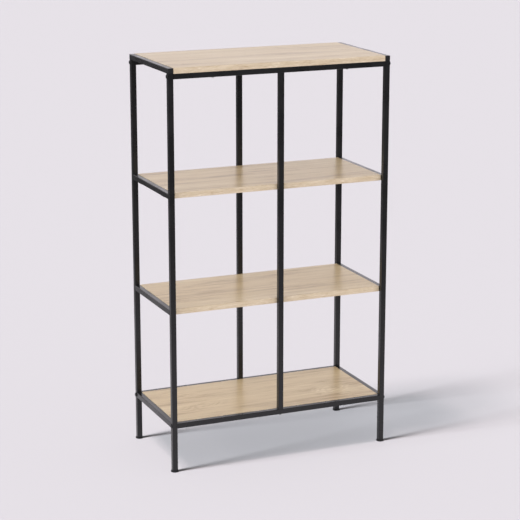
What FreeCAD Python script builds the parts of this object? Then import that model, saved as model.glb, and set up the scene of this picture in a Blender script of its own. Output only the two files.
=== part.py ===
"""Four-tier shelving unit of square steel tube with oak-faced boards.

Two welded side frames, each of two posts and four side rails, are bolted to two top and two bottom
cross rails.  A middle upright stands at the front and another at the back.  Four boards rest on
welded tabs or on the top cross rails.

Sizes are in millimetres.  +X points right, +Y points to the back and +Z points up.  The origin is
on the floor, under the middle of the unit.
"""
import FreeCAD, Part
import math
import os

# ------------------------------------------------------------------ driving dimensions
overall_width = 660.0          # over the outer faces of the posts
overall_depth = 315.0          # over the front and back faces of the posts
overall_height = 1140.0        # floor to the surface of the top board
floor_gap = 128.0              # floor to the underside of the bottom rails
shelf_names = ["lower_shelf", "upper_shelf"]   # evenly spaced between the bottom and top boards

tube_size = 15.0               # square tube, outside
tube_wall = 1.2
tube_corner = 1.5              # outside corner radius
tube_bore_corner = 0.5         # inside corner radius

board_thickness = 16.0
band_thickness = 0.8           # edge band glued round each board
board_gap = 0.5                # running clearance round each board in its frame

foot_radius = 11.0
foot_height = 4.0
foot_edge = 1.0                # rounding of the foot's rim
foot_plug_length = 16.0

cap_thickness = 2.0            # end cap over the open end of a top side rail
cap_edge = 0.6
cap_plug_length = 10.0
plug_clearance = 0.1           # each side, plug or insert in the bore of a tube
plug_chamfer = 0.4

frame_bolt_radius = 3.0        # M6
upright_bolt_radius = 2.5      # M5
bolt_engagement = 15.0         # length of shank inside the threaded insert
thread_clearance = 0.05        # shank to thread, on the radius
bolt_hole_clearance = 0.2      # shank to drilled hole, on the radius
bolt_tip_chamfer = 0.8
frame_head_radius = 6.0
frame_head_height = 3.0
frame_socket_flats = 4.0
upright_head_radius = 4.6
upright_head_height = 2.6
upright_socket_flats = 3.0
head_rounding = 0.6            # share of the head's height taken by its rounded rim
socket_depth = 0.65            # share of the head's height taken by its hexagon socket
pocket_clearance = 0.5         # round and above a bolt head sunk in the top board
insert_length = 20.0

tab_thickness = 2.0
tab_length = 30.0              # along the side rail
tab_reach = 18.0               # how far a tab runs in under its board
tab_setback = 3.0              # from the outer face of the side rail
tab_from_post = 36.0           # post face to the nearer end of a tab
tab_corner = 4.0

screw_radius = 2.0
screw_head_radius = 3.8
screw_head_height = 2.2
screw_bite = 11.0              # length of screw inside the board
screw_from_board_end = 9.0
screw_slot_width = 1.0
screw_slot_depth = 1.2
screw_slot_share = 1.2         # length of the slot over the head's radius
top_screw_from_middle = 200.0

weld_leg = 2.0

same_place = 1e-6              # lengths closer than this count as equal

# ------------------------------------------------------------------ places worked out from them
half_width = overall_width / 2
half_depth = overall_depth / 2
half_tube = tube_size / 2
post_top = overall_height - board_thickness
bottom_rail_top = floor_gap + tube_size
shelf_pitch = (post_top - bottom_rail_top) / (len(shelf_names) + 1)
post_x = half_width - half_tube
post_y = half_depth - half_tube
inner_width = overall_width - 2 * tube_size
inner_depth = overall_depth - 2 * tube_size
top_rail_centre = post_top - half_tube
bottom_rail_centre = bottom_rail_top - half_tube
tube_bore = tube_size - 2 * tube_wall
plug_size = tube_bore - 2 * plug_clearance
board_width = inner_width - 2 * board_gap
shelf_depth = inner_depth - 2 * board_gap
tab_y = half_depth - tube_size - tab_from_post - tab_length / 2
tab_screw_x = board_width / 2 - screw_from_board_end

# Each level that carries a board on tabs: its name and the height of its rails' top faces.
level_names = ["bottom"] + shelf_names
shelf_levels = [(name, bottom_rail_top + index * shelf_pitch) for index, name in enumerate(level_names)]

sides = [("left", -1), ("right", 1)]
ends = [("front", -1), ("rear", 1)]
cross_rail_levels = [("bottom", bottom_rail_centre), ("top", top_rail_centre)]


# ------------------------------------------------------------------ shared shapes
def moved(shape, x=0.0, y=0.0, z=0.0):
    """Return a copy of the shape, shifted."""
    copy = shape.copy()
    copy.translate(FreeCAD.Vector(x, y, z))
    return copy


def turned(shape, axis, angle):
    """Return a copy of the shape, turned about an axis through the origin."""
    copy = shape.copy()
    copy.rotate(FreeCAD.Vector(0, 0, 0), FreeCAD.Vector(*axis), angle)
    return copy


def along_x(shape):
    """Turn a shape that runs along +Z so that it runs along +X."""
    return turned(shape, (0, 1, 0), 90)


def along_y(shape):
    """Turn a shape that runs along +Z so that it runs along +Y."""
    return turned(shape, (1, 0, 0), -90)


def drill(shape, radius, point, direction, length):
    """Cut a round hole that starts at a point and runs along a direction."""
    tool = Part.makeCylinder(radius, length, FreeCAD.Vector(*point), FreeCAD.Vector(*direction))
    return shape.cut(tool)


def is_parallel(edge, direction):
    """Tell whether a straight edge runs along a direction."""
    if len(edge.Vertexes) != 2:
        return False
    run = edge.Vertexes[1].Point - edge.Vertexes[0].Point
    return abs(abs(run.dot(FreeCAD.Vector(*direction))) - run.Length) < same_place


def prism(width, corner, length):
    """Square prism with rounded long edges, centred on +Z and standing on the origin."""
    block = Part.makeBox(width, width, length, FreeCAD.Vector(-width / 2, -width / 2, 0))
    long_edges = [edge for edge in block.Edges if is_parallel(edge, (0, 0, 1))]
    return block.makeFillet(corner, long_edges)


def square_tube(length):
    """Hollow square tube standing on the origin."""
    outside = prism(tube_size, tube_corner, length)
    bore = prism(tube_bore, tube_bore_corner, length)
    return outside.cut(bore)


def rim_at(shape, height):
    """Return the round edges of a shape that lie level at a height."""
    rims = []
    for edge in shape.Edges:
        box = edge.BoundBox
        if abs(box.ZMin - height) < same_place and abs(box.ZMax - height) < same_place:
            rims.append(edge)
    return rims


def hexagon_prism(flats, length):
    """Hexagonal prism standing on the origin."""
    corner_radius = flats / math.sqrt(3)
    points = []
    for step in range(7):
        angle = math.radians(60 * step)
        points.append(FreeCAD.Vector(corner_radius * math.cos(angle), corner_radius * math.sin(angle), 0))
    return Part.Face(Part.makePolygon(points)).extrude(FreeCAD.Vector(0, 0, length))


def button_bolt(shank_radius, shank_length, head_radius, head_height, socket_flats):
    """Button-head bolt: the head stands on z = 0 and the shank runs down from it."""
    head = Part.makeCylinder(head_radius, head_height)
    head = head.makeFillet(head_rounding * head_height, rim_at(head, head_height))
    depth = socket_depth * head_height
    head = head.cut(moved(hexagon_prism(socket_flats, depth), z=head_height - depth))
    shank = Part.makeCylinder(shank_radius, shank_length, FreeCAD.Vector(0, 0, -shank_length))
    shank = shank.makeChamfer(bolt_tip_chamfer, rim_at(shank, -shank_length))
    return head.fuse(shank).removeSplitter()


def threaded_insert(bolt_radius):
    """Square insert with a tapped hole, standing on the origin, its mouth at z = 0."""
    block = prism(plug_size, tube_bore_corner, insert_length)
    return drill(block, bolt_radius, (0, 0, 0), (0, 0, 1), insert_length)


def wood_screw(length):
    """Pan-head screw: the head hangs below z = 0 and the shank points up."""
    head = Part.makeCylinder(screw_head_radius, screw_head_height, FreeCAD.Vector(0, 0, -screw_head_height))
    head = head.makeFillet(head_rounding * screw_head_height, rim_at(head, -screw_head_height))
    slot_length = screw_slot_share * screw_head_radius
    for length_x, length_y in ((slot_length, screw_slot_width), (screw_slot_width, slot_length)):
        corner = FreeCAD.Vector(-length_x / 2, -length_y / 2, -screw_head_height)
        head = head.cut(Part.makeBox(length_x, length_y, screw_slot_depth, corner))
    shank = Part.makeCylinder(screw_radius, length - screw_radius)
    tip = Part.makeCone(screw_radius, 0, screw_radius, FreeCAD.Vector(0, 0, length - screw_radius))
    return head.fuse([shank, tip]).removeSplitter()


# ------------------------------------------------------------------ side frames
def post(side, end):
    """Corner post, drilled across for the two cross rail bolts."""
    x = side * post_x
    y = end * post_y
    shape = moved(square_tube(post_top - foot_height), x, y, foot_height)
    for _, height in cross_rail_levels:
        radius = frame_bolt_radius + bolt_hole_clearance
        shape = drill(shape, radius, (x - tube_size, y, height), (1, 0, 0), 2 * tube_size)
    return shape


def side_rail(side, rail_top):
    """Side rail that butts onto the inner faces of the front and rear posts."""
    rail = along_y(square_tube(inner_depth))
    return moved(rail, side * post_x, -inner_depth / 2, rail_top - half_tube)


def top_side_rail(side):
    """Side rail that lies across the tops of the two posts, between its end caps."""
    length = overall_depth - 2 * cap_thickness
    rail = along_y(square_tube(length))
    return moved(rail, side * post_x, -length / 2, post_top + half_tube)


def end_cap():
    """End cap: its plate stands on the origin and its plug points down into the tube."""
    plate = prism(tube_size, tube_corner, cap_thickness)
    plate = plate.makeFillet(cap_edge, rim_at(plate, cap_thickness))
    plug = prism(plug_size, tube_bore_corner, cap_plug_length)
    plug = plug.makeChamfer(plug_chamfer, rim_at(plug, 0))
    return plate.fuse(moved(plug, z=-cap_plug_length)).removeSplitter()


def end_caps():
    """The four caps that close the top side rails."""
    caps = []
    for _, side in sides:
        for _, end in ends:
            cap = along_y(end_cap()) if end > 0 else turned(end_cap(), (1, 0, 0), 90)
            caps.append(moved(cap, side * post_x, end * (half_depth - cap_thickness), post_top + half_tube))
    return caps


def weld_bead(length):
    """Fillet weld along +X, its corner on the origin and its legs along +Y and +Z."""
    corner = FreeCAD.Vector(-length / 2, 0, 0)
    points = [corner, corner + FreeCAD.Vector(0, weld_leg, 0), corner + FreeCAD.Vector(0, 0, weld_leg), corner]
    return Part.Face(Part.makePolygon(points)).extrude(FreeCAD.Vector(length, 0, 0))


def frame_welds(side):
    """Weld beads above and below each side rail end, and under the top side rail."""
    above_front = weld_bead(tube_size - 2 * tube_corner)
    below_front = turned(above_front, (1, 0, 0), -90)
    above_rear = turned(above_front, (0, 0, 1), 180)
    below_rear = turned(below_front, (0, 0, 1), 180)
    x = side * post_x
    y = inner_depth / 2
    beads = [moved(below_front, x, -y, post_top), moved(below_rear, x, y, post_top)]
    for _, rail_top in shelf_levels:
        beads.append(moved(above_front, x, -y, rail_top))
        beads.append(moved(above_rear, x, y, rail_top))
        beads.append(moved(below_front, x, -y, rail_top - tube_size))
        beads.append(moved(below_rear, x, y, rail_top - tube_size))
    return beads


def shelf_tabs(side):
    """Flat tabs welded under the side rails, which carry the boards."""
    width = tube_size - tab_setback + tab_reach
    inner_x = half_width - tab_setback - width
    tabs = []
    for _, rail_top in shelf_levels:
        for end in (-1, 1):
            corner = FreeCAD.Vector(inner_x, end * tab_y - tab_length / 2, rail_top - tube_size - tab_thickness)
            tab = Part.makeBox(width, tab_length, tab_thickness, corner)
            inner_edges = [
                edge for edge in tab.Edges
                if is_parallel(edge, (0, 0, 1)) and abs(edge.BoundBox.XMin - inner_x) < same_place
            ]
            tab = tab.makeFillet(tab_corner, inner_edges)
            radius = screw_radius + bolt_hole_clearance
            start = (tab_screw_x, end * tab_y, rail_top - tube_size - tab_thickness)
            tab = drill(tab, radius, start, (0, 0, 1), tab_thickness)
            if side < 0:
                tab = tab.mirror(FreeCAD.Vector(0, 0, 0), FreeCAD.Vector(1, 0, 0))
            tabs.append(tab)
    return tabs


def foot(side, end):
    """Round glide with a square plug that pushes into the foot of a post."""
    base = Part.makeCylinder(foot_radius, foot_height)
    base = base.makeFillet(foot_edge, rim_at(base, 0) + rim_at(base, foot_height))
    plug = prism(plug_size, tube_bore_corner, foot_plug_length)
    plug = plug.makeChamfer(plug_chamfer, rim_at(plug, foot_plug_length))
    shape = base.fuse(moved(plug, z=foot_height)).removeSplitter()
    return moved(shape, side * post_x, end * post_y, 0)


# ------------------------------------------------------------------ cross rails and uprights
def cross_rail(end, centre_height, screwed):
    """Cross rail between the posts, drilled for its upright and, if wanted, for the board screws."""
    y = end * post_y
    shape = moved(along_x(square_tube(inner_width)), -inner_width / 2, y, centre_height)
    start_z = centre_height - tube_size
    radius = upright_bolt_radius + bolt_hole_clearance
    shape = drill(shape, radius, (0, y, start_z), (0, 0, 1), 2 * tube_size)
    if screwed:
        for x in (-top_screw_from_middle, top_screw_from_middle):
            radius = screw_radius + bolt_hole_clearance
            shape = drill(shape, radius, (x, y, start_z), (0, 0, 1), 2 * tube_size)
    return shape


def frame_bolts():
    """The bolts that hold the cross rails between the posts."""
    shank = tube_size + bolt_engagement
    radius = frame_bolt_radius - thread_clearance
    bolt = button_bolt(radius, shank, frame_head_radius, frame_head_height, frame_socket_flats)
    return [
        moved(turned(bolt, (0, 1, 0), side * 90), side * half_width, end * post_y, height)
        for _, side in sides for _, end in ends for _, height in cross_rail_levels
    ]


def frame_inserts():
    """The threaded inserts in both ends of every cross rail."""
    insert = threaded_insert(frame_bolt_radius)
    return [
        moved(turned(insert, (0, 1, 0), -side * 90), side * inner_width / 2, end * post_y, height)
        for _, side in sides for _, end in ends for _, height in cross_rail_levels
    ]


def middle_upright(end):
    """Upright between the bottom and top cross rails, at mid width."""
    length = post_top - tube_size - bottom_rail_top
    return moved(square_tube(length), 0, end * post_y, bottom_rail_top)


def upright_inserts():
    """The threaded inserts in both ends of the middle uprights."""
    insert = threaded_insert(upright_bolt_radius)
    inserts = []
    for _, end in ends:
        y = end * post_y
        inserts.append(moved(insert, 0, y, bottom_rail_top))
        inserts.append(moved(turned(insert, (1, 0, 0), 180), 0, y, post_top - tube_size))
    return inserts


def upright_bolts():
    """The bolts through the cross rails into the ends of the uprights."""
    radius = upright_bolt_radius - thread_clearance
    shank = tube_size + bolt_engagement
    bolt = button_bolt(radius, shank, upright_head_radius, upright_head_height, upright_socket_flats)
    bolts = []
    for _, end in ends:
        y = end * post_y
        bolts.append(moved(bolt, 0, y, post_top))
        bolts.append(moved(turned(bolt, (1, 0, 0), 180), 0, y, floor_gap))
    return bolts


# ------------------------------------------------------------------ boards
def board_core(depth, underside):
    """Core of a board, without its edge band."""
    width = board_width - 2 * band_thickness
    length = depth - 2 * band_thickness
    return Part.makeBox(width, length, board_thickness, FreeCAD.Vector(-width / 2, -length / 2, underside))


def edge_band(depth, underside):
    """The four strips of a board's edge band: long ones at front and back, short ones between."""
    x = board_width / 2
    y = depth / 2
    long_strip = Part.makeBox(board_width, band_thickness, board_thickness)
    short_strip = Part.makeBox(band_thickness, depth - 2 * band_thickness, board_thickness)
    return [
        moved(long_strip, -x, -y, underside),
        moved(long_strip, -x, y - band_thickness, underside),
        moved(short_strip, -x, -y + band_thickness, underside),
        moved(short_strip, x - band_thickness, -y + band_thickness, underside),
    ]


def shelf_board(rail_top):
    """Board that rests on four tabs, with a pilot hole over each."""
    underside = rail_top - tube_size
    shape = board_core(shelf_depth, underside)
    for x in (-tab_screw_x, tab_screw_x):
        for y in (-tab_y, tab_y):
            radius = screw_radius + thread_clearance
            shape = drill(shape, radius, (x, y, underside), (0, 0, 1), screw_bite)
    return shape


def top_board():
    """Board on the top cross rails, with pilot holes and pockets over the upright bolts' heads."""
    shape = board_core(overall_depth, post_top)
    pocket_radius = upright_head_radius + pocket_clearance
    pocket_depth = upright_head_height + pocket_clearance
    for y in (-post_y, post_y):
        shape = drill(shape, pocket_radius, (0, y, post_top), (0, 0, 1), pocket_depth)
        for x in (-top_screw_from_middle, top_screw_from_middle):
            radius = screw_radius + thread_clearance
            shape = drill(shape, radius, (x, y, post_top), (0, 0, 1), screw_bite)
    return shape


def shelf_screws():
    """The screws up through the tabs into the boards."""
    screw = wood_screw(tab_thickness + screw_bite)
    return [
        moved(screw, x, y, rail_top - tube_size - tab_thickness)
        for _, rail_top in shelf_levels for x in (-tab_screw_x, tab_screw_x) for y in (-tab_y, tab_y)
    ]


def top_board_screws():
    """The screws up through the top cross rails into the top board."""
    screw = wood_screw(tube_size + screw_bite)
    return [
        moved(screw, x, y, post_top - tube_size)
        for x in (-top_screw_from_middle, top_screw_from_middle) for y in (-post_y, post_y)
    ]


# ------------------------------------------------------------------ the whole unit
def all_pieces():
    """Return every node's name with its list of solids."""
    pieces = {}
    for side_name, side in sides:
        for end_name, end in ends:
            pieces[f"{side_name}_{end_name}_post"] = [post(side, end)]
            pieces[f"{side_name}_{end_name}_foot"] = [foot(side, end)]
        for level_name, rail_top in shelf_levels:
            pieces[f"{side_name}_{level_name}_side_rail"] = [side_rail(side, rail_top)]
        pieces[f"{side_name}_top_side_rail"] = [top_side_rail(side)]
        pieces[f"{side_name}_frame_welds"] = frame_welds(side)
        pieces[f"{side_name}_shelf_tabs"] = shelf_tabs(side)
    for end_name, end in ends:
        pieces[f"{end_name}_bottom_rail"] = [cross_rail(end, bottom_rail_centre, screwed=False)]
        pieces[f"{end_name}_top_rail"] = [cross_rail(end, top_rail_centre, screwed=True)]
        pieces[f"{end_name}_middle_upright"] = [middle_upright(end)]
    for level_name, rail_top in shelf_levels:
        pieces[f"{level_name}_board"] = [shelf_board(rail_top)]
        pieces[f"{level_name}_edge_band"] = edge_band(shelf_depth, rail_top - tube_size)
    pieces["top_board"] = [top_board()]
    pieces["top_edge_band"] = edge_band(overall_depth, post_top)
    pieces["top_rail_end_caps"] = end_caps()
    pieces["frame_bolts"] = frame_bolts()
    pieces["frame_bolt_inserts"] = frame_inserts()
    pieces["upright_bolts"] = upright_bolts()
    pieces["upright_bolt_inserts"] = upright_inserts()
    pieces["shelf_screws"] = shelf_screws()
    pieces["top_board_screws"] = top_board_screws()
    return pieces


def main():
    """Write one STEP file for each node."""
    os.makedirs("parts", exist_ok=True)
    for name, solids in all_pieces().items():
        shape = solids[0] if len(solids) == 1 else Part.makeCompound(solids)
        if not shape.isValid():
            raise ValueError(f"{name} is not a valid shape")
        shape.exportStep(f"parts/{name}.step")
        print(f"{name}: {len(solids)} solid(s), {shape.Volume / 1000:.2f} cm3")


main()
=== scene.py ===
"""The looks of a four-tier shelving unit of square steel tube with oak-faced boards.

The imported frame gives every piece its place.  Steel tubes, tabs, inserts and board cores keep their own
meshes and get finishes.  Edge bands, feet, end caps, bolts, screws and weld beads are built here in more
detail, each where its plain solid lies.

Lengths are in metres.  +X points right, +Y points to the back and +Z points up.
"""

import logging
import math
from dataclasses import dataclass, field, replace
from enum import Enum
from functools import cache
from itertools import accumulate

import bmesh
import bpy
from mathutils import Euler, Matrix, Vector


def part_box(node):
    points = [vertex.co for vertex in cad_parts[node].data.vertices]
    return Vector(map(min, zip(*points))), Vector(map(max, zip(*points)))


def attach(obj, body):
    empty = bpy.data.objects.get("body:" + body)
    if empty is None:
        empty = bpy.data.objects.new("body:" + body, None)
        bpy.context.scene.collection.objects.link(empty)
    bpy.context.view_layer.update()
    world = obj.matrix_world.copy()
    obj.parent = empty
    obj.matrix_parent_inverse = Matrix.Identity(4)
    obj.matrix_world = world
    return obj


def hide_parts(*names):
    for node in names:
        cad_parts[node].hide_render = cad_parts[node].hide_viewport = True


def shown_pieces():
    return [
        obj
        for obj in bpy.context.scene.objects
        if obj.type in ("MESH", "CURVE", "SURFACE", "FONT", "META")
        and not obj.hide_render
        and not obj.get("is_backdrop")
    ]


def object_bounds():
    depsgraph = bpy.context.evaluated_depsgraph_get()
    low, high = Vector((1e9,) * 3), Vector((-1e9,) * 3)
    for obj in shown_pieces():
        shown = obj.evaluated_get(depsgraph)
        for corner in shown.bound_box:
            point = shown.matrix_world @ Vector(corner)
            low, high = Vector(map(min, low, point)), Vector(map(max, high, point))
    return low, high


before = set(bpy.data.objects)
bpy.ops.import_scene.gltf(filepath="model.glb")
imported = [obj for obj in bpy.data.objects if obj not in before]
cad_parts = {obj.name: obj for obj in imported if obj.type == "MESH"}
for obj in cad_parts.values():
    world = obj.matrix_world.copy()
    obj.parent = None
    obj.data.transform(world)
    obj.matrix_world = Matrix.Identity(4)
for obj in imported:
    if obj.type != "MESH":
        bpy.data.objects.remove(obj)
cad_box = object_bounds()

LOG = logging.getLogger("shelving")
MM = 0.001
QUARTER = math.pi / 2
HALF = math.pi
WHOLE = 2.0 * math.pi
BODY = "root"
SAME_PLACE = 0.01 * MM
SHARP_EDGE = math.radians(32.0)
NEAR_CORNER_DEGREES = (38.7, 40.5, 42.0, 43.5, 46.5, 48.0, 49.5, 51.3)
BAND_PATTERN_GAP = 6.1
WARM = (1.073, 0.962, 0.932)
COOL = (0.958, 1.022, 1.039)

Span = tuple[float, float]
Triple = tuple[float, float, float]
Colour = Triple
Box = tuple[Vector, Vector]
Socket = bpy.types.NodeSocket
Sockets = bpy.types.NodeOutputs


class Slot(Enum):
    """The record's material slots for the pieces that are built here."""

    STEEL = "black_steel"
    BOLT = "black_bolt"
    PLASTIC = "black_plastic"
    ZINC = "zinc_steel"
    OAK_EDGE = "oak_edge"


# ---------------------------------------------------------------- node trees
class Graph:
    """A node tree, with short calls that add a node, fill its sockets and join it up."""

    def __init__(self, tree: bpy.types.NodeTree) -> None:
        """Start on a tree.

        Args:
            tree: the tree that gets the nodes.
        """
        self.tree = tree

    def fill(self, node: bpy.types.Node, inputs: dict) -> bpy.types.Node:
        """Fill a node's inputs.

        Args:
            node: the node.
            inputs: a value, or a socket to join, for each input's name or number.

        Returns:
            The same node.
        """
        for name, value in inputs.items():
            if isinstance(value, Socket):
                self.tree.links.new(value, node.inputs[name])
            else:
                node.inputs[name].default_value = value
        return node

    def add(self, kind: str, inputs: dict | None = None, **settings: object) -> bpy.types.Node:
        """Add a node.

        Args:
            kind: the node's type name.
            inputs: a value, or a socket to join, for each input's name or number.
            settings: the node's own properties.

        Returns:
            The new node.
        """
        node = self.tree.nodes.new(kind)
        for name, value in settings.items():
            setattr(node, name, value)
        return self.fill(node, inputs or {})

    def place(self, group: bpy.types.NodeTree, inputs: dict) -> bpy.types.Node:
        """Place a shader node group and fill its inputs."""
        return self.add("ShaderNodeGroup", inputs, node_tree=group)

    def math(self, operation: str, *values: Socket | float) -> Socket:
        """Add a Math node on one to three values and return its result."""
        return self.add("ShaderNodeMath", dict(enumerate(values)), operation=operation).outputs[0]

    def around_zero(self, value: Socket, width: float) -> Socket:
        """Spread a value between 0 and 1 evenly round zero."""
        return self.math("MULTIPLY_ADD", value, width, -width / 2.0)

    def vector_math(self, operation: str, inputs: dict) -> Socket:
        """Add a Vector Math node and return the vector that it makes."""
        return self.add("ShaderNodeVectorMath", inputs, operation=operation).outputs[0]

    def noise(self, vector: Socket, scale: Socket | float = 1.0, detail: float = 2.0) -> Socket:
        """Return a noise between 0 and 1, mostly near one half."""
        inputs = {"Vector": vector, "Scale": scale, "Detail": detail}
        return self.add("ShaderNodeTexNoise", inputs).outputs["Fac"]

    def grain(self, vector: Socket, scale: Triple, detail: float = 2.0) -> Socket:
        """Return a noise that has its own scale along each axis."""
        return self.noise(self.vector_math("MULTIPLY", {0: vector, 1: scale}), detail=detail)

    def spread(
        self, value: Socket, low: float, high: float, to_low: float = 0.0, to_high: float = 1.0
    ) -> Socket:
        """Ease a value from one span to another, clamped at both ends."""
        inputs = {0: value, 1: low, 2: high, 3: to_low, 4: to_high}
        return self.add("ShaderNodeMapRange", inputs, interpolation_type="SMOOTHSTEP").outputs[0]

    def blend(self, factor: Socket, first: Socket | Colour, second: Socket | Colour) -> Socket:
        """Mix two colours.

        Args:
            factor: the share of the second one.
            first: a colour, or the socket that gives it.
            second: a colour, or the socket that gives it.

        Returns:
            The mixed colour.
        """
        colours = [value if isinstance(value, Socket) else (*value, 1.0) for value in (first, second)]
        inputs = {0: factor, 6: colours[0], 7: colours[1]}
        return self.add("ShaderNodeMix", inputs, data_type="RGBA").outputs[2]


def shader_group(
    name: str, inputs: dict[str, float | None], outputs: list[str]
) -> tuple[Graph, Sockets, bpy.types.Node]:
    """Start a shader node group.

    Args:
        name: the group's name.
        inputs: each input with its default, or None for a vector.
        outputs: the names of the values that it puts out.

    Returns:
        Its graph, its inputs and the node that takes its outputs.
    """
    tree = bpy.data.node_groups.new(name, "ShaderNodeTree")
    for label, value in inputs.items():
        kind = "NodeSocketVector" if value is None else "NodeSocketFloat"
        socket = tree.interface.new_socket(label, in_out="INPUT", socket_type=kind)
        if value is not None:
            socket.default_value = value
    for label in outputs:
        tree.interface.new_socket(label, in_out="OUTPUT", socket_type="NodeSocketFloat")
    graph = Graph(tree)
    return graph, graph.add("NodeGroupInput").outputs, graph.add("NodeGroupOutput")


@cache
def moulded_skin() -> bpy.types.NodeTree:
    """Make the group for painted and moulded skins: a coarse peel with fine grit, and a slow drift.

    Returns:
        The group.
    """
    defaults = {"Vector": None, "Peel": 700.0, "Grit": 3000.0, "Grit Share": 0.3}
    graph, inlet, outlet = shader_group("moulded_skin", defaults, ["Height", "Drift"])
    drift_scale = 14.0
    vector = inlet["Vector"]
    peel = graph.noise(vector, inlet["Peel"], 1.0)
    grit = graph.noise(vector, inlet["Grit"], 2.0)
    height = graph.math("ADD", graph.math("MULTIPLY", grit, inlet["Grit Share"]), peel)
    graph.fill(outlet, {"Height": height, "Drift": graph.noise(vector, drift_scale, 3.0)})
    return graph.tree


@cache
def oak_streaks() -> bpy.types.NodeTree:
    """Make the group for straight oak grain along X: tone from dark to light, and open pores.

    Returns:
        The group.
    """
    graph, inlet, outlet = shader_group("oak_streaks", {"Vector": None}, ["Tone", "Pores"])
    sway_scale = (2.2, 9.0, 9.0)
    sway_width = 16.0 * MM
    streaks = (
        ((1.4, 20.0, 20.0), 1.10),
        ((6.0, 75.0, 75.0), 0.95),
        ((20.0, 330.0, 330.0), 0.75),
    )
    dash_scale = (40.0, 1700.0, 1700.0)
    crowd_scale = (3.0, 60.0, 60.0)
    straight = inlet["Vector"]
    sway = graph.around_zero(graph.grain(straight, sway_scale), sway_width)
    shift = graph.add("ShaderNodeCombineXYZ", {"Y": sway}).outputs[0]
    vector = graph.vector_math("ADD", {0: straight, 1: shift})
    tone = 0.5
    for scale, weight in streaks:
        streak = graph.math("SUBTRACT", graph.grain(vector, scale), 0.5)
        tone = graph.math("MULTIPLY_ADD", streak, weight, tone)
    dashes = graph.spread(graph.grain(vector, dash_scale, 1.0), 0.60, 0.68)
    crowd = graph.spread(graph.grain(vector, crowd_scale, 1.0), 0.42, 0.62, 0.25, 1.0)
    graph.fill(outlet, {"Tone": tone, "Pores": graph.math("MULTIPLY", dashes, crowd)})
    return graph.tree


@cache
def oak_heart() -> bpy.types.NodeTree:
    """Make the group for one long oval of growth rings, centred on its vector's origin.

    Returns:
        The group.
    """
    defaults = {"Vector": None, "Stretch": 7.0, "Ring": 6.0 * MM, "Reach": 50.0 * MM, "Strength": 0.3}
    graph, inlet, outlet = shader_group("oak_heart", defaults, ["Shade"])
    wander_scale = (13.0, 45.0, 0.0)
    wander_width = 36.0 * MM
    tremble_scale = (60.0, 210.0, 0.0)
    tremble_width = 8.0 * MM
    usual_reach = 45.0 * MM
    gap_scale = (26.0, 110.0, 0.0)
    fibre_scale = (22.0, 480.0, 0.0)
    vector = inlet["Vector"]
    parts = graph.add("ShaderNodeSeparateXYZ", {0: vector}).outputs
    along = graph.math("DIVIDE", parts["X"], inlet["Stretch"])
    square = graph.math("ADD", graph.math("POWER", along, 2.0), graph.math("POWER", parts["Y"], 2.0))
    wander = graph.around_zero(graph.grain(vector, wander_scale), wander_width)
    tremble = graph.around_zero(graph.grain(vector, tremble_scale), tremble_width)
    size = graph.math("DIVIDE", inlet["Reach"], usual_reach)
    ragged = graph.math("MULTIPLY", graph.math("ADD", wander, tremble), size)
    distance = graph.math("ADD", graph.math("SQRT", square), ragged)
    phase = graph.math("MULTIPLY", graph.math("DIVIDE", distance, inlet["Ring"]), WHOLE)
    wave = graph.math("POWER", graph.math("MULTIPLY_ADD", graph.math("COSINE", phase), 0.5, 0.5), 2.0)
    nearness = graph.math("SUBTRACT", 1.0, graph.math("DIVIDE", distance, inlet["Reach"]))
    broken = graph.spread(graph.grain(vector, gap_scale), 0.38, 0.60, 0.25, 1.0)
    fibres = graph.spread(graph.grain(vector, fibre_scale, 3.0), 0.36, 0.62, 0.10, 1.0)
    lines = graph.math("MULTIPLY", wave, graph.math("MULTIPLY", broken, fibres))
    shade = graph.math("MULTIPLY", lines, graph.spread(nearness, 0.0, 0.8))
    graph.fill(outlet, {"Shade": graph.math("MULTIPLY", shade, inlet["Strength"])})
    return graph.tree


def cleared(owner: bpy.types.Material | bpy.types.World) -> Graph:
    """Empty the node tree of a material or of the surroundings.

    Args:
        owner: what the tree belongs to.

    Returns:
        Its graph.
    """
    owner.use_nodes = True
    owner.node_tree.nodes.clear()
    return Graph(owner.node_tree)


def new_material(name: str) -> tuple[bpy.types.Material, Graph, bpy.types.Node]:
    """Make a material that holds one Principled shader.

    Args:
        name: the material's name.

    Returns:
        The material, its graph and the shader node.
    """
    material = bpy.data.materials.new(name)
    graph = cleared(material)
    shader = graph.add("ShaderNodeBsdfPrincipled")
    graph.add("ShaderNodeOutputMaterial", {"Surface": shader.outputs["BSDF"]})
    return material, graph, shader


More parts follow.
